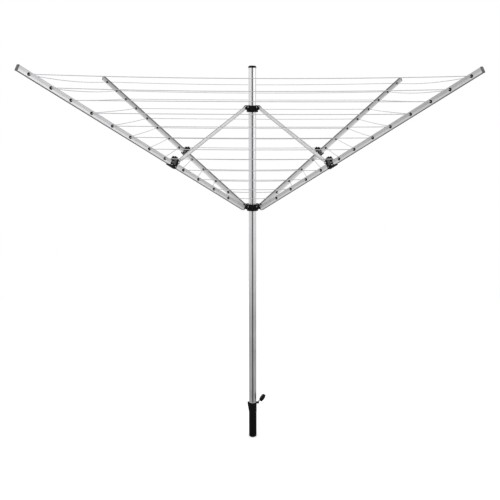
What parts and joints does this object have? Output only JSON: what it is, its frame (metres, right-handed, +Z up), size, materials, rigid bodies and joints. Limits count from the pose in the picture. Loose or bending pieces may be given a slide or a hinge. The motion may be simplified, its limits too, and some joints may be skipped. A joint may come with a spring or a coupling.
{
  "type": "rotary clothesline",
  "caption": "Umbrella-style clothesline: folding arms on struts carry square rings of line round a grooved mast that turns in a ground socket with a hinged lid.",
  "frame": {"origin": "centre of the ground socket's closed lower end", "axes": "+Z up along the mast, -Y towards the viewer, arms at 45 degrees between the X and Y axes"},
  "size_m": [1.9632, 1.9632, 2.1101],
  "materials": {
    "socket_black": "moulded, satin",
    "black_plastic": "moulded, satin",
    "grey_plastic": "moulded, satin",
    "cap_grey": "moulded, satin",
    "steel": "zinc plated",
    "mast_aluminium": "anodised satin",
    "arm_aluminium": "anodised satin",
    "strut_aluminium": "anodised satin",
    "line_vinyl": "smooth vinyl coating"
  },
  "bodies": {
    "socket": {"ground_socket": "socket_black", "lid_hinge_pin": "steel"},
    "lid": {"socket_lid": "socket_black"},
    "foot": {"foot_spigot": "grey_plastic"},
    "mast": {"mast": "mast_aluminium", "mast_foot_bush": "black_plastic", "mast_top_cap": "black_plastic"},
    "head": {"upper_hub": "black_plastic", "upper_hub_liner": "black_plastic", "upper_hub_pins": "steel", "upper_hub_lever_pin": "steel"},
    "upper_lever": {"upper_hub_lever": "black_plastic"},
    "lower": {"lower_hub": "black_plastic", "lower_hub_liner": "black_plastic", "lower_hub_pins": "steel", "lower_hub_lever_pin": "steel"},
    "lower_lever": {"lower_hub_lever": "black_plastic"},
    "strut_1": {"strut_1": "strut_aluminium", "strut_ends_1": "grey_plastic"},
    "arm_1": {"arm_1": "arm_aluminium", "arm_root_1": "black_plastic", "arm_tip_cap_1": "cap_grey", "strut_collar_1": "black_plastic", "collar_pin_1": "steel", "line_eyelets_1": "black_plastic", "lines_1": "line_vinyl"},
    "strut_2": {"strut_2": "strut_aluminium", "strut_ends_2": "grey_plastic"},
    "arm_2": {"arm_2": "arm_aluminium", "arm_root_2": "black_plastic", "arm_tip_cap_2": "cap_grey", "strut_collar_2": "black_plastic", "collar_pin_2": "steel", "line_eyelets_2": "black_plastic", "lines_2": "line_vinyl"},
    "strut_3": {"strut_3": "strut_aluminium", "strut_ends_3": "grey_plastic"},
    "arm_3": {"arm_3": "arm_aluminium", "arm_root_3": "black_plastic", "arm_tip_cap_3": "cap_grey", "strut_collar_3": "black_plastic", "collar_pin_3": "steel", "line_eyelets_3": "black_plastic", "lines_3": "line_vinyl"},
    "strut_4": {"strut_4": "strut_aluminium", "strut_ends_4": "grey_plastic"},
    "arm_4": {"arm_4": "arm_aluminium", "arm_root_4": "black_plastic", "arm_tip_cap_4": "cap_grey", "strut_collar_4": "black_plastic", "collar_pin_4": "steel", "line_eyelets_4": "black_plastic", "lines_4": "line_vinyl"}
  },
  "joints": [
    {"name": "lid_swing", "type": "hinge", "parent": "socket", "child": "lid", "pos_m": [0.033, 0, 0.2136], "axis": [0, 1, 0], "range_deg": [-30, 70]},
    {"name": "mast_lift", "type": "slide", "parent": "socket", "child": "foot", "axis": [0, 0, 1], "range_m": [0, 0.18]},
    {"name": "mast_spin", "type": "hinge", "parent": "foot", "child": "mast", "pos_m": [0, 0, 0.23], "axis": [0, 0, 1], "continuous": true},
    {"name": "height_slide", "type": "slide", "parent": "mast", "child": "head", "axis": [0, 0, 1], "range_m": [-0.3, 0.16]},
    {"name": "upper_lever_swing", "type": "hinge", "parent": "head", "child": "upper_lever", "pos_m": [0, 0.038, 1.89303], "axis": [1, 0, 0], "range_deg": [0, 80]},
    {"name": "strut_fold_1", "type": "hinge", "parent": "head", "child": "strut_1", "pos_m": [0.03111, 0.03111, 1.89303], "axis": [-0.7071, 0.7071, 0], "range_deg": [0, 57], "deforming": ["lines_1", "lines_2", "lines_3", "lines_4"]},
    {"name": "strut_fold_2", "type": "hinge", "parent": "head", "child": "strut_2", "pos_m": [-0.03111, 0.03111, 1.89303], "axis": [-0.7071, -0.7071, 0], "range_deg": [0, 57]},
    {"name": "strut_fold_3", "type": "hinge", "parent": "head", "child": "strut_3", "pos_m": [-0.03111, -0.03111, 1.89303], "axis": [0.7071, -0.7071, 0], "range_deg": [0, 57]},
    {"name": "strut_fold_4", "type": "hinge", "parent": "head", "child": "strut_4", "pos_m": [0.03111, -0.03111, 1.89303], "axis": [0.7071, 0.7071, 0], "range_deg": [0, 57]},
    {"name": "arm_fold_1", "type": "hinge", "parent": "strut_1", "child": "arm_1", "pos_m": [0.37335, 0.37335, 1.62551], "axis": [-0.7071, 0.7071, 0], "range_deg": [-114, 0]},
    {"name": "arm_fold_2", "type": "hinge", "parent": "strut_2", "child": "arm_2", "pos_m": [-0.37335, 0.37335, 1.62551], "axis": [-0.7071, -0.7071, 0], "range_deg": [-114, 0]},
    {"name": "arm_fold_3", "type": "hinge", "parent": "strut_3", "child": "arm_3", "pos_m": [-0.37335, -0.37335, 1.62551], "axis": [0.7071, -0.7071, 0], "range_deg": [-114, 0]},
    {"name": "arm_fold_4", "type": "hinge", "parent": "strut_4", "child": "arm_4", "pos_m": [0.37335, -0.37335, 1.62551], "axis": [0.7071, 0.7071, 0], "range_deg": [-114, 0]},
    {"name": "lower_hub_fold", "type": "hinge", "parent": "arm_1", "child": "lower", "pos_m": [0.03111, 0.03111, 1.358], "axis": [-0.7071, 0.7071, 0], "range_deg": [0, 57]},
    {"name": "lower_lever_swing", "type": "hinge", "parent": "lower", "child": "lower_lever", "pos_m": [0, 0.038, 1.358], "axis": [1, 0, 0], "range_deg": [0, 80]}
  ],
  "couplings": [
    {"joint": "strut_fold_2", "follows": "strut_fold_1", "ratio": 1},
    {"joint": "strut_fold_3", "follows": "strut_fold_1", "ratio": 1},
    {"joint": "strut_fold_4", "follows": "strut_fold_1", "ratio": 1},
    {"joint": "arm_fold_1", "follows": "strut_fold_1", "ratio": -2},
    {"joint": "arm_fold_2", "follows": "strut_fold_1", "ratio": -2},
    {"joint": "arm_fold_3", "follows": "strut_fold_1", "ratio": -2},
    {"joint": "arm_fold_4", "follows": "strut_fold_1", "ratio": -2},
    {"joint": "lower_hub_fold", "follows": "strut_fold_1", "ratio": 1}
  ]
}
